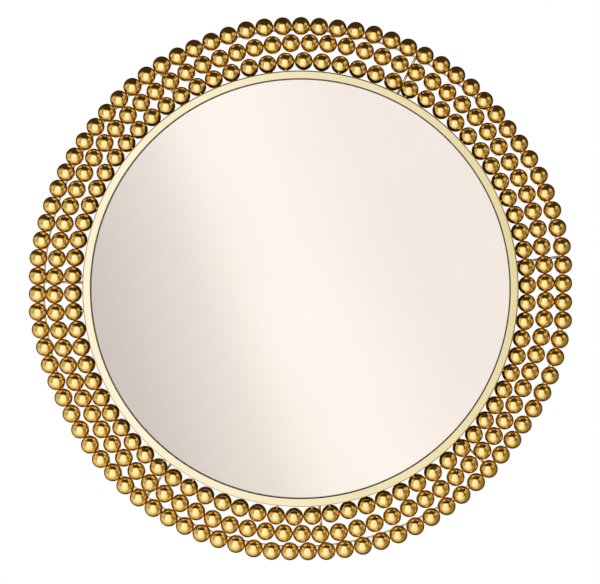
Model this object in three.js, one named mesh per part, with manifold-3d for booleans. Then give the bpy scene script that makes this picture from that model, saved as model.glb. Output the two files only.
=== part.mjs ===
// Round flat wall mirror with a surround of three rings of polished metal balls.
//
// Lengths are millimetres and angles degrees. +Z is up and the front faces -Y. The origin is the
// centre of the mirror on the plane of the wall, so every piece lies at negative Y. Angles go
// anticlockwise from +X as the front shows them.

import * as THREE from "three";
import { mergeVertices } from "three/addons/utils/BufferGeometryUtils.js";
import Module from "manifold-3d";

const wasm = await Module();
wasm.setup();

// Clearance between pieces that touch
const gap = 0.3;

// Surround of balls. The rings lie one ball apart, so each ring rests against the next.
const ballDiameter = 25.4;
const ballDepth = -17; // plane of the ball centres
const ringPitch = ballDiameter + gap;
const linkWire = 3;
const innerRing = { radius: 322.2, balls: 78, firstAngle: 1.1 };
const middleRing = { radius: innerRing.radius + ringPitch, balls: 84, firstAngle: 1.35 };
const outerRing = { radius: middleRing.radius + ringPitch, balls: 90, firstAngle: 1.0 };
const ballShoulder = 45; // latitude of the slices between the middle of a ball and its wire
const sliceSides = { wire: 4, shoulder: 4, middle: 8 };

// Rods and hoop behind the balls
const rodDiameter = 3.6;
const rodAngles = [7, 63.5, 123, 178.4, 233.5, 275, 316.5];
const hoopRadius = 368.5;
const hoopWire = 3;
const wireSides = 5;
const hoopSegments = 60;

// Rim: a flat face with rounded edges in front of the glass, and a thin side that reaches back to
// the plane of the wall
const rimOuterRadius = innerRing.radius - ballDiameter / 2 - gap;
const rimFaceWidth = 12.2;
const rimDepth = 26;
const rimLip = 3;
const rimWall = 2;
const rimEdgeRadius = 2;
const rimEdgeSteps = 1;
const rimSegments = 60;

// What the rim holds, from the front to the back
const glassThickness = 4;
const padThickness = 1;
const boardThickness = 6;
const discRadius = 304.6;
const discSegments = 60;

// Angle tabs that hold the board in, and their screws
const tabCount = 8;
const tabFirstAngle = 22.5;
const tabWidth = 14;
const tabThickness = 1.5;
const tabReach = 22;
const tabHeight = 8;
const tabOuterBend = 2.5;
const tabBendSteps = 2;
const tabHoleInset = 14; // from the tab's heel to its hole

// Round-headed screws. The grip is how far a screw goes into the board, its point included.
const screw = { shankRadius: 1.6, headRadius: 3.5, headHeight: 2.2, grip: 4.5, point: 1.2 };
const screwShoulder = { radius: 2.8, height: 1.54 }; // where the side of the head turns in
const screwClearance = 0.45;
const screwHoleRadius = screw.shankRadius + screwClearance;
const pilotDepth = 5.2;
const roundSides = 6; // of screws, screw holes and rods
const cutMargin = 1; // how far a cutter reaches past the face that it cuts

// Strap hangers and their D-rings
const hangerAcross = 200; // from the mirror's centre to each hanger
const hangerHeight = 150;
const strapWidth = 14;
const strapThickness = 1.5;
const strapLength = 46; // from the pivot down to the end
const strapHoles = [27, 39]; // from the pivot down to each hole
const strapEndSteps = 4;
const boreRadius = 2.3;
const boreSteps = 8;
const ringWire = 3.2;
const ringInnerWidth = 20;
const ringSide = 8; // from the bar down to the start of the bow
const ringCorner = 4;
const ringArcStep = 22.5; // degrees between the points of its arcs
const ringSlices = 26;
const ringWireSteps = 4;

const weldDistance = 1e-4; // corners nearer than this are one corner

const finishes = {
  gold: { color: 0xd2a046, metalness: 1, roughness: 0.16 },
  champagne: { color: 0xf2dfae, metalness: 1, roughness: 0.3 },
  silvered: { color: 0xdfe2e2, metalness: 1, roughness: 0.02 },
  foam: { color: 0xf0efec, metalness: 0, roughness: 0.95 },
  fibreboard: { color: 0x9c7752, metalness: 0, roughness: 0.85 },
  zinc: { color: 0xb9bcc0, metalness: 1, roughness: 0.35 },
};

const toRadians = THREE.MathUtils.degToRad;

// Planes and radii that follow from the sizes above
const ballRadius = ballDiameter / 2;
const rimWallInside = rimOuterRadius - rimWall;
const sightRadius = rimOuterRadius - rimFaceWidth;
const rimFront = -rimDepth;
const lipBack = rimFront + rimLip;
const glassFront = lipBack + gap;
const padFront = glassFront + glassThickness + gap;
const boardFront = padFront + padThickness + gap;
const boardBack = boardFront + boardThickness;
const tabFront = boardBack + gap;
const rodDepth = ballDepth + ballRadius + gap + rodDiameter / 2;
const tabHeel = rimWallInside * Math.cos(Math.PI / rimSegments) - gap;
const strapFold = boreRadius + strapThickness;
const pivotDepth = boardBack + gap + strapFold;

// The hoop rests against the backs of the outer balls.
const hoopReach = ballRadius + hoopWire / 2 + gap;
const hoopOffset = outerRing.radius - hoopRadius;
const hoopDepth = ballDepth + Math.sqrt(hoopReach ** 2 - hoopOffset ** 2);

const mirror = new THREE.Group();
mirror.name = "beaded_round_mirror";

function addPiece(name, geometry, finish) {
  const piece = new THREE.Mesh(geometry, new THREE.MeshStandardMaterial(finish));
  piece.name = name;
  mirror.add(piece);
  return piece;
}

// A solid that can be joined and cut, from a closed geometry.
function solidFrom(geometry) {
  const bare = geometry.clone();
  bare.deleteAttribute("normal");
  bare.deleteAttribute("uv");
  const merged = mergeVertices(bare, weldDistance);
  const vertProperties = merged.attributes.position.array;
  const triVerts = new Uint32Array(merged.index.array);
  return new wasm.Manifold(new wasm.Mesh({ numProp: 3, vertProperties, triVerts }));
}

function geometryFrom(solid) {
  const mesh = solid.getMesh();
  const geometry = new THREE.BufferGeometry();
  geometry.setAttribute("position", new THREE.BufferAttribute(mesh.vertProperties, 3));
  geometry.setIndex(new THREE.BufferAttribute(mesh.triVerts, 1));
  geometry.computeVertexNormals();
  return geometry;
}

// A cylinder along Y, to cut a screw hole with.
function holeCutter(radius, x, z, from, to) {
  const cutter = new THREE.CylinderGeometry(radius, radius, to - from, roundSides);
  cutter.translate(x, (from + to) / 2, z);
  return solidFrom(cutter);
}

// Adds one regular polygon square to the wire of a ring, and returns where its corners are.
function addSlice(corners, ringRadius, angle, along, sliceRadius, sides) {
  const outward = new THREE.Vector3(Math.cos(angle), 0, Math.sin(angle));
  const onward = new THREE.Vector3(-Math.sin(angle), 0, Math.cos(angle));
  const centre = new THREE.Vector3(0, ballDepth, 0);
  centre.addScaledVector(outward, ringRadius).addScaledVector(onward, along);
  const first = corners.length / 3;
  for (let k = 0; k < sides; k += 1) {
    const turn = (2 * Math.PI * k) / sides;
    const corner = centre.clone().addScaledVector(outward, sliceRadius * Math.cos(turn));
    corner.y += sliceRadius * Math.sin(turn);
    corners.push(corner.x, corner.y, corner.z);
  }
  return { first, sides };
}

// Skins the band between two slices, which may have different numbers of sides.
function joinSlices(faces, near, far) {
  let i = 0;
  let j = 0;
  while (i < near.sides || j < far.sides) {
    const nearCorner = near.first + (i % near.sides);
    const farCorner = far.first + (j % far.sides);
    if ((i + 1) * far.sides <= (j + 1) * near.sides) {
      i += 1;
      faces.push(nearCorner, near.first + (i % near.sides), farCorner);
    } else {
      j += 1;
      faces.push(nearCorner, far.first + (j % far.sides), farCorner);
    }
  }
}

// One ring of balls, threaded on its wire, as a single closed skin. The slices of each ball are
// inscribed in its sphere, and the slice halfway to the next ball is the wire's.
function ballRing({ radius, balls, firstAngle }) {
  const corners = [];
  const faces = [];
  const slices = [];
  const pitch = (2 * Math.PI) / balls;
  for (let ball = 0; ball < balls; ball += 1) {
    const angle = toRadians(firstAngle) + ball * pitch;
    for (const latitude of [-ballShoulder, 0, ballShoulder]) {
      const along = ballRadius * Math.sin(toRadians(latitude));
      const sliceRadius = ballRadius * Math.cos(toRadians(latitude));
      const sides = latitude === 0 ? sliceSides.middle : sliceSides.shoulder;
      slices.push(addSlice(corners, radius, angle, along, sliceRadius, sides));
    }
    slices.push(addSlice(corners, radius, angle + pitch / 2, 0, linkWire / 2, sliceSides.wire));
  }
  slices.forEach((slice, k) => joinSlices(faces, slice, slices[(k + 1) % slices.length]));
  const geometry = new THREE.BufferGeometry();
  geometry.setAttribute("position", new THREE.Float32BufferAttribute(corners, 3));
  geometry.setIndex(faces);
  geometry.computeVertexNormals();
  return geometry;
}

// The rim is one section turned about the mirror's axis: the face with its two rounded front
// edges, its thin side, and the step between them that the glass rests on.
function rimFrame() {
  const section = new THREE.Path();
  const roundDepth = rimFront + rimEdgeRadius;
  section.moveTo(sightRadius, lipBack);
  section.lineTo(sightRadius, roundDepth);
  section.absarc(sightRadius + rimEdgeRadius, roundDepth, rimEdgeRadius, Math.PI, 1.5 * Math.PI);
  section.lineTo(rimOuterRadius - rimEdgeRadius, rimFront);
  section.absarc(rimOuterRadius - rimEdgeRadius, roundDepth, rimEdgeRadius, 1.5 * Math.PI, 2 * Math.PI);
  section.lineTo(rimOuterRadius, 0);
  section.lineTo(rimWallInside, 0);
  section.lineTo(rimWallInside, lipBack);
  section.lineTo(sightRadius, lipBack);
  return new THREE.LatheGeometry(section.getPoints(rimEdgeSteps), rimSegments);
}

function disc(front, thickness) {
  const geometry = new THREE.CylinderGeometry(discRadius, discRadius, thickness, discSegments);
  geometry.translate(0, front + thickness / 2, 0);
  return geometry;
}

// A rod runs outward from the rim to the hoop.
function rod() {
  const hoopInside = hoopRadius * Math.cos(Math.PI / hoopSegments) - hoopWire / 2;
  const start = rimOuterRadius + gap;
  const end = hoopInside - gap;
  const geometry = new THREE.CylinderGeometry(rodDiameter / 2, rodDiameter / 2, end - start, roundSides);
  geometry.rotateZ(Math.PI / 2);
  geometry.translate((start + end) / 2, rodDepth, 0);
  return geometry;
}

function hoop() {
  const geometry = new THREE.TorusGeometry(hoopRadius, hoopWire / 2, wireSides, hoopSegments);
  geometry.rotateX(Math.PI / 2);
  geometry.translate(0, hoopDepth, 0);
  return geometry;
}

function tabAngle(index) {
  return tabFirstAngle + (index * 360) / tabCount;
}

// Where the screws go into the board, as [x, z]
function tabScrewPlace(index) {
  const angle = toRadians(tabAngle(index));
  const radius = tabHeel - tabHoleInset;
  return [radius * Math.cos(angle), radius * Math.sin(angle)];
}

function hangerScrewPlace(side, hole) {
  return [side * hangerAcross, hangerHeight - hole];
}

function backingBoard() {
  let board = solidFrom(disc(boardFront, boardThickness));
  const places = [];
  for (let index = 0; index < tabCount; index += 1) places.push(tabScrewPlace(index));
  for (const side of [-1, 1]) {
    for (const hole of strapHoles) places.push(hangerScrewPlace(side, hole));
  }
  for (const [x, z] of places) {
    board = board.subtract(holeCutter(screwHoleRadius, x, z, boardBack - pilotDepth, boardBack + cutMargin));
  }
  return geometryFrom(board);
}

// A tab is bent from strip: its heel stands against the rim's side and its toe lies on the board.
function retainingTab() {
  const section = new THREE.Shape();
  const innerBend = tabOuterBend - tabThickness;
  const bendCentre = { x: tabHeel - tabOuterBend, y: tabFront + tabOuterBend };
  section.moveTo(tabHeel - tabReach, tabFront);
  section.lineTo(bendCentre.x, tabFront);
  section.absarc(bendCentre.x, bendCentre.y, tabOuterBend, -Math.PI / 2, 0);
  section.lineTo(tabHeel, tabFront + tabHeight);
  section.lineTo(tabHeel - tabThickness, tabFront + tabHeight);
  section.lineTo(tabHeel - tabThickness, bendCentre.y);
  section.absarc(bendCentre.x, bendCentre.y, innerBend, 0, -Math.PI / 2, true);
  section.lineTo(tabHeel - tabReach, tabFront + tabThickness);
  const strip = new THREE.ExtrudeGeometry(section, {
    depth: tabWidth,
    bevelEnabled: false,
    curveSegments: tabBendSteps,
  });
  strip.translate(0, 0, -tabWidth / 2);
  const cutFrom = tabFront - cutMargin;
  const cutTo = tabFront + tabThickness + cutMargin;
  const hole = holeCutter(screwHoleRadius, tabHeel - tabHoleInset, 0, cutFrom, cutTo);
  return geometryFrom(solidFrom(strip).subtract(hole));
}

// A screw along Y into the board, with its head to the back over the face at the depth `seat`
function roundHeadScrew(x, z, seat) {
  const headUnder = seat + gap;
  const tip = boardBack - screw.grip;
  const profile = [
    [0, tip],
    [screw.shankRadius, tip + screw.point],
    [screw.shankRadius, headUnder],
    [screw.headRadius, headUnder],
    [screwShoulder.radius, headUnder + screwShoulder.height],
    [0, headUnder + screw.headHeight],
  ];
  const points = profile.map(([radius, depth]) => new THREE.Vector2(radius, depth));
  const geometry = new THREE.LatheGeometry(points, roundSides);
  geometry.translate(x, 0, z);
  return geometry;
}

// A strap hanger, about its pivot: seen from the side it is a strap folded round the bar of the
// D-ring, and seen from behind it is a strip with a round end and two screw holes.
function hangerPlate() {
  const side = new THREE.Shape();
  const foldMeets = -Math.sqrt(strapFold ** 2 - boreRadius ** 2);
  side.moveTo(-strapFold, -strapLength);
  side.lineTo(-strapFold, 0);
  side.absarc(0, 0, strapFold, Math.PI, Math.atan2(foldMeets, -boreRadius), true);
  side.lineTo(-boreRadius, -strapLength);
  const bore = new THREE.Path();
  bore.absarc(0, 0, boreRadius, 0, 2 * Math.PI);
  side.holes.push(bore);
  const folded = new THREE.ExtrudeGeometry(side, {
    depth: strapWidth,
    bevelEnabled: false,
    curveSegments: boreSteps,
  });
  // The section was drawn in X and Y: its X becomes depth, and its Y height.
  folded.translate(0, 0, -strapWidth / 2);
  folded.applyMatrix4(
    new THREE.Matrix4().makeBasis(
      new THREE.Vector3(0, 1, 0),
      new THREE.Vector3(0, 0, 1),
      new THREE.Vector3(1, 0, 0),
    ),
  );

  const outline = new THREE.Shape();
  const half = strapWidth / 2;
  const above = strapFold + cutMargin;
  outline.moveTo(-half, above);
  outline.lineTo(-half, half - strapLength);
  outline.absarc(0, half - strapLength, half, Math.PI, 2 * Math.PI);
  outline.lineTo(half, above);
  const strip = new THREE.ExtrudeGeometry(outline, {
    depth: 2 * above,
    bevelEnabled: false,
    curveSegments: strapEndSteps,
  });
  strip.translate(0, 0, -above);
  strip.rotateX(Math.PI / 2);

  let plate = solidFrom(folded).intersect(solidFrom(strip));
  for (const hole of strapHoles) {
    plate = plate.subtract(holeCutter(screwHoleRadius, 0, -hole, -above, 0));
  }
  return geometryFrom(plate);
}

// A D-ring hanging from its bar: wire bent round until its two ends meet inside the strap's fold.
function dRing() {
  const wireRadius = ringWire / 2;
  const half = ringInnerWidth / 2 + wireRadius;
  const path = new THREE.CurvePath();
  const arc = (x, z, radius, from, to) => {
    const steps = Math.ceil(Math.abs(to - from) / ringArcStep);
    const points = [];
    for (let k = 0; k <= steps; k += 1) {
      const angle = toRadians(from + ((to - from) * k) / steps);
      points.push(new THREE.Vector3(x + radius * Math.cos(angle), 0, z + radius * Math.sin(angle)));
    }
    return points;
  };
  const points = [
    new THREE.Vector3(gap / 2, 0, 0),
    ...arc(half - ringCorner, -ringCorner, ringCorner, 90, 0),
    ...arc(0, -ringSide, half, 0, -180),
    ...arc(ringCorner - half, -ringCorner, ringCorner, 180, 90),
    new THREE.Vector3(-gap / 2, 0, 0),
  ];
  for (let k = 1; k < points.length; k += 1) {
    path.add(new THREE.LineCurve3(points[k - 1], points[k]));
  }
  const wire = new THREE.Shape();
  wire.absarc(0, 0, wireRadius, 0, 2 * Math.PI);
  return new THREE.ExtrudeGeometry(wire, {
    steps: ringSlices,
    extrudePath: path,
    curveSegments: ringWireSteps,
  });
}

addPiece("inner_bead_ring", ballRing(innerRing), finishes.gold);
addPiece("middle_bead_ring", ballRing(middleRing), finishes.gold);
addPiece("outer_bead_ring", ballRing(outerRing), finishes.gold);
addPiece("rim_frame", rimFrame(), finishes.champagne);
addPiece("back_hoop", hoop(), finishes.gold);
rodAngles.forEach((angle, index) => {
  const piece = addPiece(`spoke_${index + 1}`, rod(), finishes.gold);
  piece.rotation.y = -toRadians(angle);
});

addPiece("mirror_glass", disc(glassFront, glassThickness), finishes.silvered);
addPiece("backing_pad", disc(padFront, padThickness), finishes.foam);
addPiece("backing_board", backingBoard(), finishes.fibreboard);

for (let index = 0; index < tabCount; index += 1) {
  const tab = addPiece(`retaining_tab_${index + 1}`, retainingTab(), finishes.champagne);
  tab.rotation.y = -toRadians(tabAngle(index));
  const [x, z] = tabScrewPlace(index);
  const seat = tabFront + tabThickness;
  addPiece(`tab_screw_${index + 1}`, roundHeadScrew(x, z, seat), finishes.zinc);
}

for (const [name, side] of [["left", -1], ["right", 1]]) {
  const pivot = new THREE.Vector3(side * hangerAcross, pivotDepth, hangerHeight);
  addPiece(`hanger_plate_${name}`, hangerPlate(), finishes.zinc).position.copy(pivot);
  addPiece(`d_ring_${name}`, dRing(), finishes.zinc).position.copy(pivot);
  strapHoles.forEach((hole, index) => {
    const [x, z] = hangerScrewPlace(side, hole);
    const seat = boardBack + gap + strapThickness;
    addPiece(`hanger_screw_${name}_${index + 1}`, roundHeadScrew(x, z, seat), finishes.zinc);
  });
}

export default mirror;
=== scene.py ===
"""Dresses the round beaded wall mirror for rendering.

Metres, +Z up, the front faces -Y, and the wall is the plane y = 0. Angles go anticlockwise from +X as
the front shows them.
"""

import math
import random

import bmesh
import bpy
from mathutils import Matrix, Vector

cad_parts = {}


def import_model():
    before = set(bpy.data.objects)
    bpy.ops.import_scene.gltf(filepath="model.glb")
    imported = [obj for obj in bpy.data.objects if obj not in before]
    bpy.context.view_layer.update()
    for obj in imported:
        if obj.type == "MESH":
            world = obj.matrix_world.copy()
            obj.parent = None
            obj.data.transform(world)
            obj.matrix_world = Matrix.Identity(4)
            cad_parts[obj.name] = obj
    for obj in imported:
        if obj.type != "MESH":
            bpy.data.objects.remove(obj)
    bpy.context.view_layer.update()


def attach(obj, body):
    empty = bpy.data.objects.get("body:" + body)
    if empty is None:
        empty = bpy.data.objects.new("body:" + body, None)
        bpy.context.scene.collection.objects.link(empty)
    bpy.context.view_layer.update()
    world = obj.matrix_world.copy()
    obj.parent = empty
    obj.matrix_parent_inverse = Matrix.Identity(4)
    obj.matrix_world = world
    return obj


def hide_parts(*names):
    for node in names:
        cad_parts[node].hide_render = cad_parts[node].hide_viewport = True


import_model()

MM = 0.001

# Surround of balls: ring radius, number of balls and the angle of the first, as in the CAD source. The balls
# are 0.2 mm larger in radius than there, so that they cover as much white ground as in the photograph.
BALL_RADIUS = 12.9 * MM
BALL_DEPTH = -16.78 * MM
RINGS = {
    "inner": (322.2 * MM, 78, 1.1),
    "middle": (347.9 * MM, 84, 1.35),
    "outer": (373.6 * MM, 90, 1.0),
}
LINK_RADIUS = 1.5 * MM

# The real rings and hoop aren't true circles, and the balls aren't evenly spaced. These waves round the
# mirror say how far they stray, as (number of lobes, millimetres, phase in degrees). They were fitted to the
# places of the balls and the hoop in the photograph and rounded.
OUTWARD_WAVES = {
    "inner": ((1, 1.0, -177), (2, 1.1, 114), (3, 0.4, 100), (4, 0.6, -26), (8, 0.3, 18), (12, 0.3, -36)),
    "middle": (
        (2, 0.9, 136),
        (3, 0.55, 97),
        (4, 1.15, -23),
        (5, 0.4, 41),
        (6, 0.5, -7),
        (7, 0.55, -120),
        (11, 0.35, -128),
        (14, 0.4, -43),
    ),
    "outer": (
        (1, 1.0, -7),
        (2, 0.8, 126),
        (3, 0.55, 81),
        (4, 1.4, -8),
        (5, 0.5, 14),
        (6, 1.1, -31),
        (8, 0.4, 170),
        (9, 0.4, -165),
        (15, 0.6, 38),
    ),
    "hoop": ((1, 1.6, 0), (3, 1.3, -24)),
}
ALONG_WAVES = {
    "inner": ((1, 1.7, 126), (2, 2.7, -97), (3, 1.55, -103), (4, 1.3, -111), (5, 0.8, -116)),
    "middle": ((1, 4.6, 96), (2, 1.55, -73), (3, 1.2, -71), (4, 0.9, -90), (6, 0.5, -82)),
    "outer": ((1, 7.2, 94), (2, 1.4, -1), (3, 0.3, -67), (4, 0.5, -103)),
}
OUTERMOST = 373.3 * MM  # no ball's centre lies further to a side, up or down
UNEVEN = 0.45 * MM  # how far a single ball strays from its wave
CLOSEST_ALONG = 25.86 * MM  # between the centres of balls on one ring
CLOSEST_ACROSS = 25.8 * MM  # and of balls on two rings
TOUCHING = 26.0 * MM  # balls of two rings nearer than this are welded
NEIGHBOURS = math.radians(6)  # balls further round the mirror from each other than this never touch
BALL_FILLET = ((12.91 * MM, LINK_RADIUS), (12.82 * MM, 1.72 * MM))  # (distance along the wire, radius)

# Rim and what it holds
RIM_OUTER = 309.2 * MM
RIM_WALL_INSIDE = 307.2 * MM
SIGHT_RADIUS = 297.0 * MM
RIM_FRONT = -26 * MM
LIP_BACK = -23 * MM
DISC_RADIUS = 304.6 * MM
GLASS_FRONT = -22.7 * MM
GLASS_BACK = -18.7 * MM
SILVER = 0.06 * MM
PAD_FRONT = -18.4 * MM
PAD_BACK = -17.4 * MM
BOARD_FRONT = -17.1 * MM
BOARD_BACK = -11.1 * MM

# Drops of weld that fix the inner ring to the side of the rim
RIM_WELDS = (8.5, 24, 42, 63, 80, 98, 116, 139, 157, 176, 190, 208, 227, 240, 263, 275, 281, 300, 317, 338)
RIM_WELD_RADIUS = 310.7 * MM
RIM_WELD_DEPTH = -21.6 * MM
RIM_WELD_SIZE = (2.1 * MM, 2.0 * MM, 1.7 * MM)  # half of its size outward, in depth and round the rim

# Rods and hoop behind the balls
ROD_RADIUS = 1.8 * MM
ROD_DEPTH = -2.0 * MM
ROD_ANGLES = (7, 63.5, 123, 178.4, 233.5, 275, 316.5)
HOOP_RADIUS = 369.7 * MM
HOOP_WIRE = 1.5 * MM
HOOP_DEPTH = -2.6 * MM
HOOP_STEPS = 288

# Fittings
TAB_COUNT = 8
TAB_FIRST_ANGLE = 22.5
TAB_HEEL = 306.4 * MM
TAB_REACH = 22 * MM
TAB_HEIGHT = 8 * MM
TAB_WIDTH = 14 * MM
STRIP = 1.5 * MM
TAB_HOLE_INSET = 14 * MM
PIVOT = Vector((200 * MM, -7 * MM, 150 * MM))
STRAP_LENGTH = 46 * MM
STRAP_WIDTH = 14 * MM
STRAP_HOLES = (27 * MM, 39 * MM)
KNUCKLE = 3.05 * MM
RING_WIRE = 1.6 * MM

# Room that the metal and the glass see, in metres
ROOM_FRONT = -1.2
ROOM_BACK = 0.6
ROOM_SIDE = 2.0
ROOM_TOP = 1.7
ROOM_BASE = -1.6


# --- Materials ---------------------------------------------------------------------------------


class Nodes:
    """A short way to write a node tree."""

    def __init__(self, tree):
        self.tree = tree
        tree.nodes.clear()

    def add(self, kind, **settings):
        node = self.tree.nodes.new(kind)
        for key, value in settings.items():
            setattr(node, key, value)
        return node

    def link(self, source, target):
        self.tree.links.new(source, target)

    def maths(self, operation, a, b=None, clamp=False):
        node = self.add("ShaderNodeMath", operation=operation, use_clamp=clamp)
        for socket, value in zip(node.inputs, (a, b)):
            if value is None:
                continue
            if isinstance(value, (int, float)):
                socket.default_value = value
            else:
                self.link(value, socket)
        return node.outputs[0]

    def hypotenuse(self, a, b):
        square = self.maths("ADD", self.maths("MULTIPLY", a, a), self.maths("MULTIPLY", b, b))
        return self.maths("SQRT", square)

    def ramp(self, factor, stops):
        node = self.add("ShaderNodeValToRGB")
        elements = node.color_ramp.elements
        while len(elements) < len(stops):
            elements.new(0.5)
        for element, (place, colour) in zip(elements, stops):
            element.position = place
            element.color = (*colour, 1)
        self.link(factor, node.inputs["Fac"])
        return node.outputs["Color"]

    def spread(self, value, low, high, to_low=0.0, to_high=1.0, smooth=True):
        node = self.add("ShaderNodeMapRange")
        node.interpolation_type = "SMOOTHSTEP" if smooth else "LINEAR"
        self.link(value, node.inputs["Value"])
        for name, number in (
            ("From Min", low),
            ("From Max", high),
            ("To Min", to_low),
            ("To Max", to_high),
        ):
            node.inputs[name].default_value = number
        return node.outputs["Result"]

    def noise(self, place, scale, detail=2.0, roughness=0.5):
        node = self.add("ShaderNodeTexNoise")
        self.link(place, node.inputs["Vector"])
        node.inputs["Scale"].default_value = scale
        node.inputs["Detail"].default_value = detail
        node.inputs["Roughness"].default_value = roughness
        return node.outputs["Fac"]

    def place(self):
        return self.add("ShaderNodeTexCoord").outputs["Object"]

    def bump(self, height, distance):
        node = self.add("ShaderNodeBump")
        node.inputs["Distance"].default_value = distance
        self.link(height, node.inputs["Height"])
        return node.outputs["Normal"]

    def mix(self, factor, colour, other):
        """The colour where the factor is 0, and the other, a plain (red, green, blue), where it is 1."""
        node = self.add("ShaderNodeMix", data_type="RGBA")
        # The colour sockets go by number, because the node has others of the same names.
        self.link(factor, node.inputs[0])
        self.link(colour, node.inputs[6])
        node.inputs[7].default_value = (*other, 1)
        return node.outputs[2]


def new_material(name):
    material = bpy.data.materials.new(name)
    material.use_nodes = True
    nodes = Nodes(material.node_tree)
    shader = nodes.add("ShaderNodeBsdfPrincipled")
    output = nodes.add("ShaderNodeOutputMaterial")
    nodes.link(shader.outputs[0], output.inputs["Surface"])
    return material, nodes, shader


def gold_material(name, deep, bright, rough_low, rough_high):
    """Polished gold plating: its colour and polish vary a little, and its surface is very slightly uneven."""
    material, nodes, shader = new_material(name)
    place = nodes.place()
    tone = nodes.noise(place, 90, 3)
    nodes.link(nodes.ramp(tone, ((0.3, deep), (0.7, bright))), shader.inputs["Base Color"])
    polish = nodes.noise(place, 260, 4)
    nodes.link(nodes.spread(polish, 0.35, 0.75, rough_low, rough_high), shader.inputs["Roughness"])
    nodes.link(nodes.bump(nodes.noise(place, 140, 2), 0.02 * MM), shader.inputs["Normal"])
    shader.inputs["Metallic"].default_value = 1.0
    shader.inputs["Specular Tint"].default_value = (0.42, 0.34, 0.22, 1)
    return material


def champagne_material():
    """Satin pale metal, brushed round the rim, with painted shade along both edges of its front."""
    material, nodes, shader = new_material("champagne_satin")
    place = nodes.place()
    parts = nodes.add("ShaderNodeSeparateXYZ")
    nodes.link(place, parts.inputs[0])
    x, y, z = (parts.outputs[name] for name in "XYZ")
    radius = nodes.hypotenuse(x, z)
    turn = nodes.maths("ARCTAN2", z, x)
    # Noise drawn out round the rim: fine across the brushing and coarse along it
    across, along = 2600, 9
    brushed = nodes.add("ShaderNodeCombineXYZ")
    nodes.link(nodes.maths("MULTIPLY", radius, across), brushed.inputs["X"])
    nodes.link(nodes.maths("MULTIPLY", turn, along), brushed.inputs["Y"])
    nodes.link(nodes.maths("MULTIPLY", y, across), brushed.inputs["Z"])
    lines = nodes.noise(brushed.outputs[0], 1.0, 3, 0.6)
    cloud = nodes.noise(place, 14, 2)
    tone = nodes.maths("ADD", nodes.maths("MULTIPLY", lines, 0.35), nodes.maths("MULTIPLY", cloud, 0.65))
    colours = ((0.32, (0.655, 0.535, 0.255)), (0.68, (0.695, 0.572, 0.288)))
    metal = nodes.ramp(tone, colours)
    # Painted shade: dark lines along both edges of the rim's front stand in for the shadow gap by the glass
    # and the dark room reflected in the rounded edges, with none further back
    unshaded_face = nodes.maths(
        "MULTIPLY",
        nodes.spread(radius, SIGHT_RADIUS + 0.7 * MM, SIGHT_RADIUS + 1.6 * MM),
        nodes.spread(radius, RIM_OUTER - 0.6 * MM, RIM_OUTER - 0.1 * MM, 1.0, 0.0),
    )
    front = nodes.spread(y, RIM_FRONT + 4.0 * MM, RIM_FRONT + 5.0 * MM, 1.0, 0.0)
    painted_edge_shade = nodes.maths("MULTIPLY", front, nodes.maths("SUBTRACT", 1.0, unshaded_face))
    nodes.link(nodes.mix(painted_edge_shade, metal, (0.13, 0.085, 0.025)), shader.inputs["Base Color"])
    nodes.link(nodes.spread(lines, 0.3, 0.7, 0.17, 0.24), shader.inputs["Roughness"])
    nodes.link(nodes.bump(lines, 0.012 * MM), shader.inputs["Normal"])
    shader.inputs["Metallic"].default_value = 1.0
    return material


def silver_material():
    """The silvering on the back of the glass: a clear mirror, its brightness uneven by a few percent."""
    material, nodes, shader = new_material("silvering")
    place = nodes.place()
    tone = nodes.noise(place, 3.5, 2)
    colours = ((0.3, (0.90, 0.895, 0.88)), (0.7, (0.93, 0.93, 0.92)))
    nodes.link(nodes.ramp(tone, colours), shader.inputs["Base Color"])
    shader.inputs["Roughness"].default_value = 0.0
    shader.inputs["Metallic"].default_value = 1.0
    return material


def glass_material():
    """Clear float glass with the faintest green."""
    material, nodes, shader = new_material("float_glass")
    place = nodes.place()
    tint = nodes.noise(place, 2.0, 1)
    colours = ((0.3, (0.975, 0.99, 0.98)), (0.7, (0.985, 0.995, 0.99)))
    nodes.link(nodes.ramp(tint, colours), shader.inputs["Base Color"])
    shader.inputs["Roughness"].default_value = 0.0
    shader.inputs["IOR"].default_value = 1.52
    shader.inputs["Transmission Weight"].default_value = 1.0
    return material


def foam_material():
    """Pale foam with fine cells."""
    material, nodes, shader = new_material("foam")
    place = nodes.place()
    cells = nodes.noise(place, 1500, 3)
    colours = ((0.3, (0.76, 0.76, 0.74)), (0.7, (0.86, 0.86, 0.84)))
    nodes.link(nodes.ramp(cells, colours), shader.inputs["Base Color"])
    nodes.link(nodes.bump(cells, 0.08 * MM), shader.inputs["Normal"])
    shader.inputs["Roughness"].default_value = 0.9
    return material


def fibreboard_material():
    """Raw fibreboard: short fibres, darker specks and a sanded sheen."""
    material, nodes, shader = new_material("raw_fibreboard")
    place = nodes.place()
    stretch = nodes.add("ShaderNodeMapping")
    nodes.link(place, stretch.inputs["Vector"])
    stretch.inputs["Scale"].default_value = (1.0, 1.0, 0.35)
    stretch.inputs["Rotation"].default_value = (0.0, 0.6, 0.0)
    fibres = nodes.noise(stretch.outputs[0], 900, 6, 0.75)
    cloud = nodes.noise(place, 18, 3)
    tone = nodes.maths("ADD", nodes.maths("MULTIPLY", fibres, 0.75), nodes.maths("MULTIPLY", cloud, 0.25))
    colours = (
        (0.30, (0.20, 0.115, 0.055)),
        (0.50, (0.36, 0.225, 0.12)),
        (0.70, (0.47, 0.31, 0.18)),
    )
    nodes.link(nodes.ramp(tone, colours), shader.inputs["Base Color"])
    nodes.link(nodes.spread(fibres, 0.3, 0.7, 0.72, 0.9), shader.inputs["Roughness"])
    nodes.link(nodes.bump(fibres, 0.12 * MM), shader.inputs["Normal"])
    return material


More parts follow.
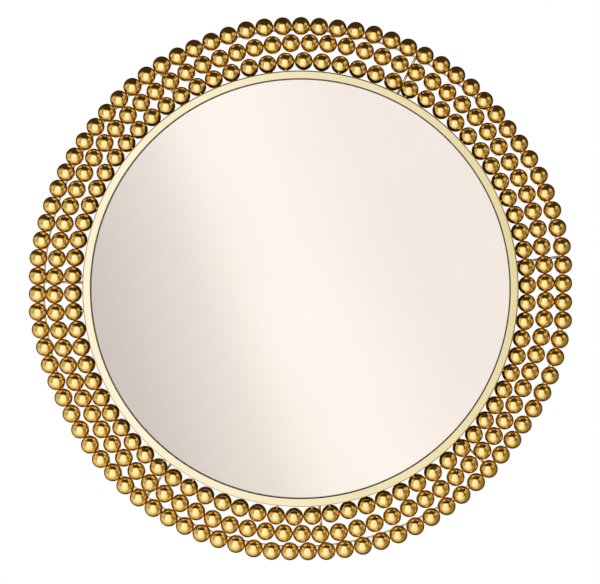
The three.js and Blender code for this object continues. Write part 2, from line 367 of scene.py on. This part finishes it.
def zinc_material():
    """Bright zinc plating: cool grey with soft darker patches and a fine grain."""
    material, nodes, shader = new_material("bright_zinc")
    place = nodes.place()
    patches = nodes.noise(place, 160, 3, 0.6)
    colours = ((0.3, (0.46, 0.47, 0.50)), (0.7, (0.66, 0.67, 0.68)))
    nodes.link(nodes.ramp(patches, colours), shader.inputs["Base Color"])
    grain = nodes.noise(place, 1400, 3)
    nodes.link(nodes.spread(patches, 0.3, 0.7, 0.24, 0.40), shader.inputs["Roughness"])
    nodes.link(nodes.bump(grain, 0.015 * MM), shader.inputs["Normal"])
    shader.inputs["Metallic"].default_value = 1.0
    return material


GOLD = gold_material("gold_balls", (0.74, 0.515, 0.17), (0.80, 0.56, 0.195), 0.07, 0.12)
GOLD_WIRE = gold_material("gold_wire", (0.88, 0.66, 0.32), (0.94, 0.73, 0.38), 0.10, 0.18)
GOLD_WELD = gold_material("gold_weld", (0.84, 0.48, 0.15), (0.93, 0.60, 0.22), 0.16, 0.32)
CHAMPAGNE = champagne_material()
SILVERING = silver_material()
GLASS = glass_material()
FOAM = foam_material()
FIBREBOARD = fibreboard_material()
ZINC = zinc_material()


# --- Building blocks ---------------------------------------------------------------------------


def add_piece(name, vertices, faces, material, slot, body="mirror", sharp=None):
    """A smooth piece of the object. Edges that turn more than sharp degrees stay crisp."""
    mesh = bpy.data.meshes.new(name)
    mesh.from_pydata(vertices, [], faces)
    mesh.validate()
    mesh.materials.append(material)
    mesh.shade_smooth()
    if sharp is not None:
        mesh.set_sharp_from_angle(angle=math.radians(sharp))
    piece = bpy.data.objects.new(name, mesh)
    bpy.context.scene.collection.objects.link(piece)
    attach(piece, body)
    return piece


def skin(loops, closed):
    """Vertices and faces of the band through equal loops of points, capped at its ends unless closed."""
    sides = len(loops[0])
    vertices = [point for loop in loops for point in loop]
    faces = []
    count = len(loops)
    for i in range(count if closed else count - 1):
        near = i * sides
        far = ((i + 1) % count) * sides
        for k in range(sides):
            after = (k + 1) % sides
            faces.append((near + k, near + after, far + after, far + k))
    if not closed:
        faces.append(tuple(range(sides - 1, -1, -1)))
        faces.append(tuple(range((count - 1) * sides, count * sides)))
    return vertices, faces


def merged(parts):
    vertices, faces = [], []
    for some_vertices, some_faces in parts:
        first = len(vertices)
        vertices += some_vertices
        faces += [tuple(first + k for k in face) for face in some_faces]
    return vertices, faces


def facing_out(vertices, faces):
    """The same closed skins with every face turned outward."""
    mesh = bmesh.new()
    points = [mesh.verts.new(v) for v in vertices]
    for face in faces:
        mesh.faces.new([points[k] for k in face])
    bmesh.ops.recalc_face_normals(mesh, faces=mesh.faces)
    mesh.verts.index_update()
    result = [tuple(v.index for v in face.verts) for face in mesh.faces]
    mesh.free()
    return vertices, result


def polar(radius, degrees, depth=0.0):
    angle = math.radians(degrees)
    return Vector((radius * math.cos(angle), depth, radius * math.sin(angle)))


def turned(section, segments):
    """A closed section of (radius, depth) points turned about the mirror's axis."""
    loops = []
    for k in range(segments):
        degrees = 360 * k / segments
        loops.append([polar(radius, degrees, depth) for radius, depth in section])
    return facing_out(*skin(loops, True))


def along_axis(profile, start, direction, sides):
    """A solid of (distance, radius) slices along a straight axis."""
    axis = direction.normalized()
    side = axis.orthogonal().normalized()
    other = axis.cross(side)
    loops = []
    for distance, radius in profile:
        centre = start + axis * distance
        loops.append(
            [
                centre
                + side * (radius * math.cos(2 * math.pi * k / sides))
                + other * (radius * math.sin(2 * math.pi * k / sides))
                for k in range(sides)
            ]
        )
    return facing_out(*skin(loops, False))


def tube(points, radius, sides, closed, up):
    """Round wire through points. up is square to the plane that the wire lies in."""
    loops = []
    count = len(points)
    for i, point in enumerate(points):
        before = points[i - 1] if closed or i else point
        after = points[(i + 1) % count] if closed or i < count - 1 else point
        tangent = (after - before).normalized()
        side = tangent.cross(up).normalized()
        loops.append(
            [
                point
                + side * (radius * math.cos(2 * math.pi * k / sides))
                + up * (radius * math.sin(2 * math.pi * k / sides))
                for k in range(sides)
            ]
        )
    return facing_out(*skin(loops, closed))


def arc(centre_a, centre_b, radius, start, end, steps):
    """Points on an arc in a plane, as (a, b), from one angle to the other."""
    points = []
    for k in range(steps + 1):
        angle = math.radians(start + (end - start) * k / steps)
        points.append((centre_a + radius * math.cos(angle), centre_b + radius * math.sin(angle)))
    return points


# --- Balls, wire and welds ---------------------------------------------------------------------


def wave(waves, degrees):
    """How far all the waves together stray at this angle."""
    turn = math.radians(degrees)
    return sum(size * math.cos(lobes * turn - math.radians(phase)) for lobes, size, phase in waves) * MM


def settled_balls():
    """Centres of all balls, by ring: on their waves, then pushed apart until none sits in another."""
    chance = random.Random(5)
    balls = []
    for ring, (radius, count, first) in RINGS.items():
        for k in range(count):
            degrees = first + 360 * k / count
            reach = radius + wave(OUTWARD_WAVES[ring], degrees) + chance.uniform(-UNEVEN, UNEVEN)
            along = wave(ALONG_WAVES[ring], degrees) + chance.uniform(-UNEVEN, UNEVEN)
            balls.append([ring, reach, math.radians(degrees) + along / radius])

    def turn_between(a, b):
        """Radians from one ball round to the other, the short way."""
        return (b[2] - a[2] + math.pi) % (2 * math.pi) - math.pi

    near_pairs = []
    for i, a in enumerate(balls):
        for b in balls[i + 1 :]:
            if abs(turn_between(a, b)) < NEIGHBOURS and {a[0], b[0]} != {"inner", "outer"}:
                near_pairs.append((a, b))
    for _ in range(60):
        # Each round moves a pair by a share of what is missing, so that the crowd settles evenly.
        for a, b in near_pairs:
            turn = turn_between(a, b)
            distance = math.sqrt(a[1] ** 2 + b[1] ** 2 - 2 * a[1] * b[1] * math.cos(turn))
            if a[0] == b[0]:
                missing = CLOSEST_ALONG - distance
                if missing > 0:
                    push = math.copysign(0.3 * missing / a[1], turn)
                    a[2] -= push
                    b[2] += push
            elif distance < CLOSEST_ACROSS:
                b[1] += 0.6 * (CLOSEST_ACROSS - distance)
        for ball in balls:
            if ball[0] == "inner":
                ball[1] = max(ball[1], RIM_OUTER + BALL_RADIUS + 0.05 * MM)
            # No ball reaches further out than the surround is wide.
            ball[1] = min(ball[1], OUTERMOST / max(abs(math.cos(ball[2])), abs(math.sin(ball[2]))))
    rings = {ring: [] for ring in RINGS}
    for ring, reach, angle in balls:
        rings[ring].append(polar(reach, math.degrees(angle), BALL_DEPTH))
    return rings


def ball_slices():
    """Slices of one ball, as (distance along the wire, radius), with the fillets where its wire enters it."""
    slices = [(-along, radius) for along, radius in BALL_FILLET]
    latitudes = [-80, -71, -61, -51, -41, -31, -20.5, -10, 0, 10, 20.5, 31, 41, 51, 61, 71, 80]
    for latitude in latitudes:
        angle = math.radians(latitude)
        slices.append((BALL_RADIUS * math.sin(angle), BALL_RADIUS * math.cos(angle)))
    slices += reversed(BALL_FILLET)
    return slices


def bead_ring(centres, sides=28):
    """All balls of one ring and the wire between them, as one skin."""
    loops = []
    slices = ball_slices()
    count = len(centres)
    for ball, centre in enumerate(centres):
        onward = (centres[(ball + 1) % count] - centres[ball - 1]).normalized()
        outward = Vector((0, 1, 0)).cross(onward)
        for along, slice_radius in slices:
            middle = centre + onward * along
            loop = []
            for k in range(sides):
                turn = 2 * math.pi * k / sides
                spoke = outward * math.cos(turn) + Vector((0, math.sin(turn), 0))
                loop.append(middle + spoke * slice_radius)
            loops.append(loop)
    return facing_out(*skin(loops, True))


def weld_neck(a, b):
    """The small waisted drop of weld between two balls that touch."""
    direction = b - a
    half = direction.length / 2
    waist = ((-1.15, 2.5), (-0.75, 1.75), (-0.3, 1.35), (0.3, 1.35), (0.75, 1.75), (1.15, 2.5))
    profile = [(half + offset * MM, radius * MM) for offset, radius in waist]
    return along_axis(profile, a, direction, 12)


def welds_between(near, far):
    """The welds between two rings, wherever their balls touch."""
    parts = []
    for a in BALLS[near]:
        for b in BALLS[far]:
            if (a - b).length < TOUCHING:
                parts.append(weld_neck(a, b))
    return merged(parts)


BALLS = settled_balls()
for ring_name, ball_centres in BALLS.items():
    ring = add_piece(f"{ring_name}_balls", *bead_ring(ball_centres), GOLD, "gold_balls")
    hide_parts(f"{ring_name}_bead_ring")

add_piece("welds_middle_to_inner", *welds_between("inner", "middle"), GOLD_WELD, "gold_balls")
add_piece("welds_outer_to_middle", *welds_between("middle", "outer"), GOLD_WELD, "gold_balls")


def drop(centre, outward, size):
    """A rounded drop of weld, longer along outward than across."""
    mesh = bmesh.new()
    bmesh.ops.create_icosphere(mesh, subdivisions=3, radius=1.0)
    across = outward.cross(Vector((0, 1, 0)))
    vertices = []
    for vertex in mesh.verts:
        x, y, z = vertex.co
        swell = 1 + 0.08 * math.sin(3 * x + 2 * z) * math.cos(2 * y + x)
        vertices.append(
            centre
            + outward * (x * size[0] * swell)
            + Vector((0, y * size[1] * swell, 0))
            + across * (z * size[2] * swell)
        )
    faces = [tuple(v.index for v in face.verts) for face in mesh.faces]
    mesh.free()
    return vertices, faces


drops = []
for wanted in RIM_WELDS:
    toward = polar(1, wanted)
    nearest = max(BALLS["inner"], key=lambda centre: centre.dot(toward))
    degrees = math.degrees(math.atan2(nearest.z, nearest.x))
    drops.append(drop(polar(RIM_WELD_RADIUS, degrees, RIM_WELD_DEPTH), polar(1, degrees), RIM_WELD_SIZE))
add_piece("welds_inner_to_rim", *merged(drops), GOLD_WELD, "gold_balls")


# --- Rods and hoop -----------------------------------------------------------------------------


def hoop_reach(degrees):
    """The hoop's radius at this angle."""
    return HOOP_RADIUS + wave(OUTWARD_WAVES["hoop"], degrees)


for index, degrees in enumerate(ROD_ANGLES):
    start = RIM_OUTER + 0.05 * MM
    end = hoop_reach(degrees) - HOOP_WIRE - 0.1 * MM
    # The rod thickens a little into its weld at both ends.
    profile = [
        (0.0, 1.96 * MM),
        (2.2 * MM, 1.95 * MM),
        (4.0 * MM, 1.88 * MM),
        (6.0 * MM, ROD_RADIUS),
        (end - start - 3.0 * MM, ROD_RADIUS),
        (end - start - 1.5 * MM, 1.88 * MM),
        (end - start, 1.96 * MM),
    ]
    rod_mesh = along_axis(profile, polar(start, degrees, ROD_DEPTH), polar(1, degrees), 24)
    rod = add_piece(f"rod_{index + 1}", *rod_mesh, GOLD_WIRE, "gold_wire", sharp=50)
    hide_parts(f"spoke_{index + 1}")

hoop_angles = [360 * k / HOOP_STEPS for k in range(HOOP_STEPS)]
hoop_points = [polar(hoop_reach(degrees), degrees, HOOP_DEPTH) for degrees in hoop_angles]
hoop_mesh = tube(hoop_points, HOOP_WIRE, 16, True, Vector((0, 1, 0)))
hoop = add_piece("wire_hoop", *hoop_mesh, GOLD_WIRE, "gold_wire")
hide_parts("back_hoop")


# --- Rim, glass and back -----------------------------------------------------------------------


def rim_section():
    """The rim's section, as (radius, depth) points: the lip in front of the glass and the wall behind it."""
    edge = 2 * MM
    bevel = 0.4 * MM
    ease = 0.12 * MM
    inside = arc(SIGHT_RADIUS + edge, RIM_FRONT + edge, edge, 180, 270, 8)
    outside = arc(RIM_OUTER - edge, RIM_FRONT + edge, edge, 270, 360, 8)
    section = [(SIGHT_RADIUS + 0.25 * MM, LIP_BACK), (SIGHT_RADIUS, LIP_BACK - 0.25 * MM)]
    # Points just inside the ends of the arcs keep the flat face flat when it is shaded smooth.
    section += inside + [(SIGHT_RADIUS + edge + ease, RIM_FRONT)]
    section += [(RIM_OUTER - edge - ease, RIM_FRONT)] + outside
    section += [(RIM_OUTER, RIM_FRONT + edge + 0.3 * MM)]
    section += [
        (RIM_OUTER, -bevel),
        (RIM_OUTER - bevel, 0.0),
        (RIM_WALL_INSIDE + bevel, 0.0),
        (RIM_WALL_INSIDE, -bevel),
        (RIM_WALL_INSIDE, LIP_BACK),
    ]
    return section


def round_sheet(front, back, chamfer, segments=192):
    """A disc with chamfered edges: a band round its edge, and one face over each side."""
    section = [
        (DISC_RADIUS - chamfer, front),
        (DISC_RADIUS, front + chamfer),
        (DISC_RADIUS, back - chamfer),
        (DISC_RADIUS - chamfer, back),
    ]
    loops = []
    for radius, depth in section:
        loops.append([polar(radius, 360 * k / segments, depth) for k in range(segments)])
    return facing_out(*skin(loops, False))


rim = add_piece("rim", *turned(rim_section(), 240), CHAMPAGNE, "champagne_rim", sharp=40)
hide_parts("rim_frame")

pane = add_piece(
    "glass_pane",
    *round_sheet(GLASS_FRONT, GLASS_BACK - SILVER - 0.02 * MM, 0.6 * MM),
    GLASS,
    "silvered_glass",
    sharp=20,
)
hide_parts("mirror_glass")
silver = add_piece(
    "silvering",
    *round_sheet(GLASS_BACK - SILVER, GLASS_BACK, 0.02 * MM),
    SILVERING,
    "silvered_glass",
    sharp=20,
)
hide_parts("mirror_glass")
pad = add_piece("foam_pad", *round_sheet(PAD_FRONT, PAD_BACK, 0.1 * MM), FOAM, "foam_sheet", sharp=20)
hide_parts("backing_pad")
board = add_piece(
    "fibre_board",
    *round_sheet(BOARD_FRONT, BOARD_BACK, 0.5 * MM),
    FIBREBOARD,
    "fibreboard",
    sharp=20,
)
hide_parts("backing_board")


# --- Tabs, screws and hangers ------------------------------------------------------------------


def bent_strip(name, path, width, round_end, place, material, slot):
    """A strip of sheet metal bent along path, a list of (depth, height) points on its middle surface.

    Its first end is rounded with the radius round_end. place puts (across, depth, height) into the scene.
    """
    columns = 24
    half = width / 2
    vertices, faces = [], []
    first, second = Vector(path[0]), Vector(path[1])
    heading = (second - first).normalized()
    for column in range(columns + 1):
        # Columns lie closer together towards the sides, where the end is rounded.
        across = -half * math.cos(math.pi * column / columns)
        past = abs(across) - (half - round_end)
        trim = 0.0 if past <= 0 else round_end - math.sqrt(max(round_end**2 - past**2, 0.0))
        start = first + heading * trim
        for depth, height in [tuple(start)] + path[1:]:
            vertices.append(place @ Vector((across, depth, height)))
    rows = len(path)
    for column in range(columns):
        for row in range(rows - 1):
            corner = column * rows + row
            faces.append((corner, corner + rows, corner + rows + 1, corner + 1))
    piece = add_piece(name, vertices, faces, material, slot, sharp=35)
    thick = piece.modifiers.new("thickness", "SOLIDIFY")
    thick.thickness = STRIP
    thick.offset = 0.0
    thick.use_even_offset = True
    edges = piece.modifiers.new("edges", "BEVEL")
    edges.width = 0.25 * MM
    edges.segments = 2
    edges.limit_method = "ANGLE"
    edges.angle_limit = math.radians(50)
    return piece


def axes(right, depth, up, origin):
    """The matrix that puts (right, depth, up) coordinates into the scene."""
    return Matrix(
        (
            (right.x, depth.x, up.x, origin.x),
            (right.y, depth.y, up.y, origin.y),
            (right.z, depth.z, up.z, origin.z),
            (0, 0, 0, 1),
        )
    )


def recessed_head():
    """A round-headed screw with a cross recess, about the underside of its head, its head towards +Y."""
    # Its section in millimetres, as (radius, depth) points from the tip to the middle of the head
    shank, head, rise = 1.6, 3.5, 0.35
    dome = [(0.0, -6.2), (0.5, -5.9), (shank, -4.9), (shank, 0.0), (head, 0.0), (head, rise)]
    for angle in (15, 32, 48, 62, 75, 84):
        turn = math.radians(angle)
        dome.append((head * math.cos(turn) ** 0.8, rise + 1.8 * math.sin(turn)))
    dome.append((0.25, 2.16))
    sides = 32
    loops = []
    for radius, depth in dome:
        reach = max(radius, 0.05) * MM
        ring = []
        for k in range(sides):
            turn = 2 * math.pi * k / sides
            ring.append(Vector((reach * math.cos(turn), depth * MM, reach * math.sin(turn))))
        loops.append(ring)
    vertices, faces = facing_out(*skin(loops, False))
    mesh = bpy.data.meshes.new("screw_blank")
    mesh.from_pydata(vertices, [], faces)
    blank = bpy.data.objects.new("screw_blank", mesh)
    bpy.context.scene.collection.objects.link(blank)

    cross = []
    right, up = Vector((1, 0, 0)), Vector((0, 0, 1))
    for long_axis, short_axis in ((right, up), (up, right)):
        loops = []
        for depth, reach, width in ((0.9, 0.9, 0.32), (2.4, 2.0, 0.5)):
            corners = []
            for sign_a, sign_b in ((1, 1), (-1, 1), (-1, -1), (1, -1)):
                corner = long_axis * (sign_a * reach) + short_axis * (sign_b * width) + Vector((0, depth, 0))
                corners.append(corner * MM)
            loops.append(corners)
        cross.append(facing_out(*skin(loops, False)))
    cutters = []
    for number, (corner_points, cut_faces) in enumerate(cross):
        cut_mesh = bpy.data.meshes.new(f"recess_{number}")
        cut_mesh.from_pydata(corner_points, [], cut_faces)
        cutter = bpy.data.objects.new(f"recess_{number}", cut_mesh)
        bpy.context.scene.collection.objects.link(cutter)
        cutters.append(cutter)
        cut = blank.modifiers.new(f"cut_{number}", "BOOLEAN")
        cut.operation = "DIFFERENCE"
        cut.solver = "EXACT"
        cut.object = cutter
    bpy.context.view_layer.update()
    evaluated = blank.evaluated_get(bpy.context.evaluated_depsgraph_get())
    result = evaluated.to_mesh()
    points = [v.co.copy() for v in result.vertices]
    polygons = [tuple(p.vertices) for p in result.polygons]
    evaluated.to_mesh_clear()
    for spare in [blank] + cutters:
        bpy.data.objects.remove(spare)
    return points, polygons


SCREW_POINTS, SCREW_FACES = recessed_head()


def add_screw(name, node, x, z, seat, turn):
    """One screw through whatever has its back face at the depth seat, its recess turned by some degrees."""
    spin = Matrix.Rotation(math.radians(turn), 4, "Y")
    shift = Vector((x, seat, z))
    points = [spin @ p + shift for p in SCREW_POINTS]
    screw = add_piece(name, points, SCREW_FACES, ZINC, "zinc_steel", sharp=35)
    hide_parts(node)


STRIP_BACK = BOARD_BACK + 0.3 * MM + STRIP
SEAT = STRIP_BACK + 0.05 * MM
for index in range(TAB_COUNT):
    degrees = TAB_FIRST_ANGLE + 360 * index / TAB_COUNT
    outward = polar(1, degrees)
    place = axes(outward.cross(Vector((0, 1, 0))), Vector((0, 1, 0)), outward, Vector((0, 0, 0)))
    flat = STRIP_BACK - STRIP / 2
    bend = 1.75 * MM
    turn_centre = (flat + bend, TAB_HEEL - STRIP / 2 - bend)
    path = [(flat, TAB_HEEL - TAB_REACH)]
    for k in range(7):
        angle = math.radians(15 * k)
        path.append((turn_centre[0] - bend * math.cos(angle), turn_centre[1] + bend * math.sin(angle)))
    path.append((STRIP_BACK - STRIP + TAB_HEIGHT, TAB_HEEL - STRIP / 2))
    tab = bent_strip(f"tab_{index + 1}", path, TAB_WIDTH, 3 * MM, place, CHAMPAGNE, "champagne_rim")
    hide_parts(f"retaining_tab_{index + 1}")
    spot = polar(TAB_HEEL + 0.1 * MM - TAB_HOLE_INSET, degrees)
    add_screw(f"screw_tab_{index + 1}", f"tab_screw_{index + 1}", spot.x, spot.z, SEAT, 37 * index + 12)

for side, sign in (("left", -1), ("right", 1)):
    pivot = Vector((sign * PIVOT.x, PIVOT.y, PIVOT.z))
    place = axes(Vector((1, 0, 0)), Vector((0, 1, 0)), Vector((0, 0, 1)), pivot)
    path = [(-KNUCKLE, -STRAP_LENGTH), (-KNUCKLE, -0.4 * MM)]
    path += arc(0, 0, KNUCKLE, 180, -128, 28)
    strap = bent_strip(f"strap_{side}", path, STRAP_WIDTH, STRAP_WIDTH / 2, place, ZINC, "zinc_steel")
    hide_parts(f"hanger_plate_{side}")
    for number, hole in enumerate(STRAP_HOLES):
        add_screw(
            f"screw_strap_{side}_{number + 1}",
            f"hanger_screw_{side}_{number + 1}",
            pivot.x,
            pivot.z - hole,
            SEAT,
            50 * number + 21 * sign,
        )

    half = 10 * MM + RING_WIRE
    corner = 4 * MM
    drop_to_bow = -8 * MM
    half_gap = 0.12 * MM  # between the wire's two ends, inside the knuckle
    outline = [(half_gap, 0.0)]
    outline += arc(half - corner, -corner, corner, 90, 0, 8)
    outline += arc(0, drop_to_bow, half, 0, -180, 28)
    outline += arc(corner - half, -corner, corner, 180, 90, 8)
    outline += [(-half_gap, 0.0)]
    wire_points = [pivot + Vector((a, 0, b)) for a, b in outline]
    wire = tube(wire_points, RING_WIRE, 16, False, Vector((0, 1, 0)))
    ring = add_piece(f"hanging_ring_{side}", *wire, ZINC, "zinc_steel", body=f"d_ring_{side}", sharp=50)
    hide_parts(f"d_ring_{side}")


# --- Studio ------------------------------------------------------------------------------------


def hide_from(piece, *kinds):
    """Takes the piece out of the sight of these kinds of rays."""
    for kind in kinds:
        setattr(piece, f"visible_{kind}", False)


def stage_card(name, vertices, faces, material):
    """A piece of the studio, which isn't part of the object."""
    mesh = bpy.data.meshes.new(name)
    mesh.from_pydata(vertices, [], faces)
    mesh.materials.append(material)
    card = bpy.data.objects.new(name, mesh)
    bpy.context.scene.collection.objects.link(card)
    return card


def emission_material(name):
    """A material that only glows."""
    material = bpy.data.materials.new(name)
    material.use_nodes = True
    nodes = Nodes(material.node_tree)
    glow = nodes.add("ShaderNodeEmission")
    output = nodes.add("ShaderNodeOutputMaterial")
    nodes.link(glow.outputs[0], output.inputs["Surface"])
    return material, nodes, glow


def studio_material():
    """What polished metal sees round it: a lit screen in front, the bright floor below, and a dim warm room.

    Each part of the room is a brightness by direction. Directions are in degrees.
    """
    material, nodes, glow = emission_material("studio_room")
    parts = nodes.add("ShaderNodeSeparateXYZ")
    nodes.link(nodes.place(), parts.inputs[0])
    x, y, z = (parts.outputs[name] for name in "XYZ")
    level = nodes.maths("MAXIMUM", nodes.hypotenuse(x, z), 1e-4)  # never 0, because it divides
    away = nodes.maths("ARCTAN2", level, nodes.maths("MULTIPLY", y, -1.0))
    away = nodes.maths("MULTIPLY", away, math.degrees(1))
    # To the right of straight ahead and above it, as seen from the mirror's centre
    across = nodes.maths("MULTIPLY", away, nodes.maths("DIVIDE", x, level))
    above = nodes.maths("MULTIPLY", away, nodes.maths("DIVIDE", z, level))

    def product(*factors):
        result = factors[0]
        for factor in factors[1:]:
            result = nodes.maths("MULTIPLY", result, factor)
        return result

    def oval(middle_across, middle_above, half_across, half_above, inside, outside):
        """1 inside a blunt oval and 0 outside it. It falls between two shares of the oval's size."""
        bluntness = 2.4
        terms = []
        for angle, middle, half in ((across, middle_across, half_across), (above, middle_above, half_above)):
            offset = nodes.maths("DIVIDE", nodes.maths("SUBTRACT", angle, middle), half)
            terms.append(nodes.maths("POWER", nodes.maths("ABSOLUTE", offset), bluntness))
        return nodes.spread(nodes.maths("ADD", *terms), inside, outside, 1.0, 0.0)

    screen = product(
        oval(-8, -4, 40, 38, 0.5, 1.5),
        nodes.spread(across, -34, 26, 1.5, 1.1, smooth=False),
    )
    floor = product(
        nodes.spread(across, -110, -25),
        nodes.spread(across, -5, 75, 1.0, 0.12),
        nodes.spread(above, -24, -10, 1.0, 0.0),
        nodes.spread(above, -118, -45, 0.2, 1.35, smooth=False),
    )
    upper_left = product(oval(-48, 26, 24, 20, 0.2, 1.6), 0.6)
    upper_right = product(oval(58, 30, 22, 20, 0.2, 1.6), 0.75)
    left_wall = product(
        nodes.spread(across, -60, -40, 0.9, 0.0),
        nodes.spread(above, 20, 54, 1.0, 0.12),
        nodes.spread(nodes.maths("ABSOLUTE", above), 5, 30, 0.75, 1.0),
    )
    right_wall = product(nodes.spread(across, 34, 50, 0.0, 0.36), nodes.spread(above, 5, 40, 1.0, 0.25))
    brightest = screen
    for part in (floor, left_wall, right_wall, upper_left, upper_right):
        brightest = nodes.maths("MAXIMUM", brightest, part)
    behind = nodes.spread(away, 92, 120, 1.0, 0.3)
    dimmest, gain = 0.055, 1.42
    total = nodes.maths("MAXIMUM", product(brightest, behind), dimmest)
    # Warm where it is dim, and bluer than white where it is brightest, so that gold has pale highlights
    tint = nodes.ramp(
        nodes.spread(total, 0.0, 1.6, smooth=False),
        (
            (0.0, (0.80, 0.52, 0.18)),
            (0.3, (0.80, 0.64, 0.30)),
            (0.65, (0.78, 0.81, 0.78)),
            (1.0, (0.72, 0.84, 1.5)),
        ),
    )
    nodes.link(tint, glow.inputs["Color"])
    nodes.link(nodes.maths("MULTIPLY", total, gain), glow.inputs["Strength"])
    return material


def tent():
    """A box round the mirror, whose inside is the studio room, with a round opening behind the mirror."""
    hole = 0.3
    vertices = []
    for y in (ROOM_FRONT, ROOM_BACK):
        for x, z in ((-1, ROOM_BASE), (1, ROOM_BASE), (1, ROOM_TOP), (-1, ROOM_TOP)):
            vertices.append((x * ROOM_SIDE, y, z))
    faces = [(0, 1, 2, 3), (4, 0, 3, 7), (1, 5, 6, 2), (3, 2, 6, 7), (4, 5, 1, 0)]
    steps = 48
    corners = {45: 6, 135: 7, 225: 4, 315: 5}  # the back's corners, by their angle
    first = len(vertices)
    vertices += [tuple(polar(hole, 360 * k / steps, ROOM_BACK)) for k in range(steps)]
    for k in range(steps):
        degrees = 360 * k / steps
        near = corners[45 + 90 * int(degrees // 90)]
        faces.append((first + k, first + (k + 1) % steps, near))
    for quarter in range(4):
        here = corners[45 + 90 * quarter]
        after = corners[45 + 90 * ((quarter + 1) % 4)]
        faces.append((first + steps // 4 * (quarter + 1) % steps, after, here))
    return vertices, faces


room = stage_card("studio_room", *tent(), studio_material())
hide_from(room, "camera", "diffuse", "transmission", "volume_scatter", "shadow")


def glass_card_material():
    """What the mirror shows, on the front wall of the room: slanting pale bands, darker on the left."""
    material, nodes, glow = emission_material("pale_screen")
    parts = nodes.add("ShaderNodeSeparateXYZ")
    nodes.link(nodes.place(), parts.inputs[0])
    slant = nodes.maths("ADD", parts.outputs["X"], nodes.maths("MULTIPLY", parts.outputs["Z"], 0.40))
    band = (
        (0.00, (0.600, 0.520, 0.440)),
        (0.27, (0.800, 0.712, 0.622)),
        (0.40, (0.965, 0.852, 0.770)),
        (0.49, (0.995, 0.885, 0.815)),
        (0.57, (0.995, 0.890, 0.818)),
        (0.86, (0.900, 0.788, 0.727)),
    )
    nodes.link(nodes.ramp(nodes.spread(slant, -0.45, 0.4, smooth=False), band), glow.inputs["Color"])
    glow.inputs["Strength"].default_value = 1.12
    return material


room_corners, _ = tent()
pale_screen = stage_card("pale_screen", room_corners[:4], [(0, 1, 2, 3)], glass_card_material())
hide_from(pale_screen, "camera", "diffuse", "glossy", "volume_scatter", "shadow")


def floor_material():
    """Plain pale floor that keeps the object's shadow and fades out towards its edge."""
    material = bpy.data.materials.new("pale_floor")
    material.use_nodes = True
    nodes = Nodes(material.node_tree)
    place = nodes.place()
    parts = nodes.add("ShaderNodeSeparateXYZ")
    nodes.link(place, parts.inputs[0])
    span = nodes.add("ShaderNodeVectorMath", operation="LENGTH")
    nodes.link(place, span.inputs[0])
    surface = nodes.add("ShaderNodeBsdfDiffuse")
    tone = nodes.ramp(nodes.noise(place, 1.2, 2), ((0.3, (0.80, 0.80, 0.79)), (0.7, (0.84, 0.84, 0.83))))
    nodes.link(tone, surface.inputs["Color"])
    clear = nodes.add("ShaderNodeBsdfTransparent")
    mix = nodes.add("ShaderNodeMixShader")
    nodes.link(nodes.spread(span.outputs["Value"], 1.6, 2.9), mix.inputs["Fac"])
    nodes.link(surface.outputs[0], mix.inputs[1])
    nodes.link(clear.outputs[0], mix.inputs[2])
    output = nodes.add("ShaderNodeOutputMaterial")
    nodes.link(mix.outputs[0], output.inputs["Surface"])
    return material


FLOOR_HEIGHT = -1.0
FLOOR_RADIUS = 3.0
FLOOR_SIDES = 64
floor_points = [polar(FLOOR_RADIUS, 360 * k / FLOOR_SIDES).xzy for k in range(FLOOR_SIDES)]
floor = stage_card("pale_floor", floor_points, [tuple(range(FLOOR_SIDES))], floor_material())
floor.location = (0, 0, FLOOR_HEIGHT)
# In its place the metal sees the floor that is painted into the studio room.
hide_from(floor, "glossy")


def world():
    """White to the camera and in the metal and the glass, and a soft even light on everything else."""
    light_level = 0.62
    scene_world = bpy.data.worlds.new("studio")
    scene_world.use_nodes = True
    nodes = Nodes(scene_world.node_tree)
    path = nodes.add("ShaderNodeLightPath")
    seen = nodes.maths("ADD", path.outputs["Is Camera Ray"], path.outputs["Is Glossy Ray"], clamp=True)
    seen = nodes.maths("ADD", seen, path.outputs["Is Transmission Ray"], clamp=True)
    strength = nodes.spread(seen, 0.0, 1.0, light_level, 1.0, smooth=False)
    background = nodes.add("ShaderNodeBackground")
    background.inputs["Color"].default_value = (1, 1, 1, 1)
    nodes.link(strength, background.inputs["Strength"])
    output = nodes.add("ShaderNodeOutputWorld")
    nodes.link(background.outputs[0], output.inputs["Surface"])
    bpy.context.scene.world = scene_world


world()


def area_lamp(name, place, size, power):
    """A soft lamp aimed at the mirror. No camera, metal or glass sees it."""
    data = bpy.data.lights.new(name, "AREA")
    data.shape = "RECTANGLE"
    data.size = data.size_y = size
    data.energy = power
    lamp = bpy.data.objects.new(name, data)
    bpy.context.scene.collection.objects.link(lamp)
    lamp.location = place
    lamp.rotation_mode = "QUATERNION"
    lamp.rotation_quaternion = (-Vector(place)).to_track_quat("-Z", "Y")
    hide_from(lamp, "camera", "glossy", "transmission")


area_lamp("key", (-1.4, -1.8, 1.5), 1.6, 26)
area_lamp("back_fill", (1.2, 2.0, 1.6), 1.8, 22)

# Camera: straight on, a little below and to the left of the mirror's centre, as the framing needs
LENS = 100
SENSOR = 36
VIEW_WIDTH = 853 * MM  # at the depth of the ball centres
CAMERA_X = -0.7 * MM
CAMERA_Z = -4.8 * MM
camera_data = bpy.data.cameras.new("camera")
camera_data.lens = LENS
camera_data.sensor_width = SENSOR
camera = bpy.data.objects.new("camera", camera_data)
bpy.context.scene.collection.objects.link(camera)
camera.location = (CAMERA_X, BALL_DEPTH - VIEW_WIDTH * LENS / SENSOR, CAMERA_Z)
camera.rotation_euler = (math.pi / 2, 0, 0)
bpy.context.scene.camera = camera

bpy.context.scene.view_settings.view_transform = "Standard"
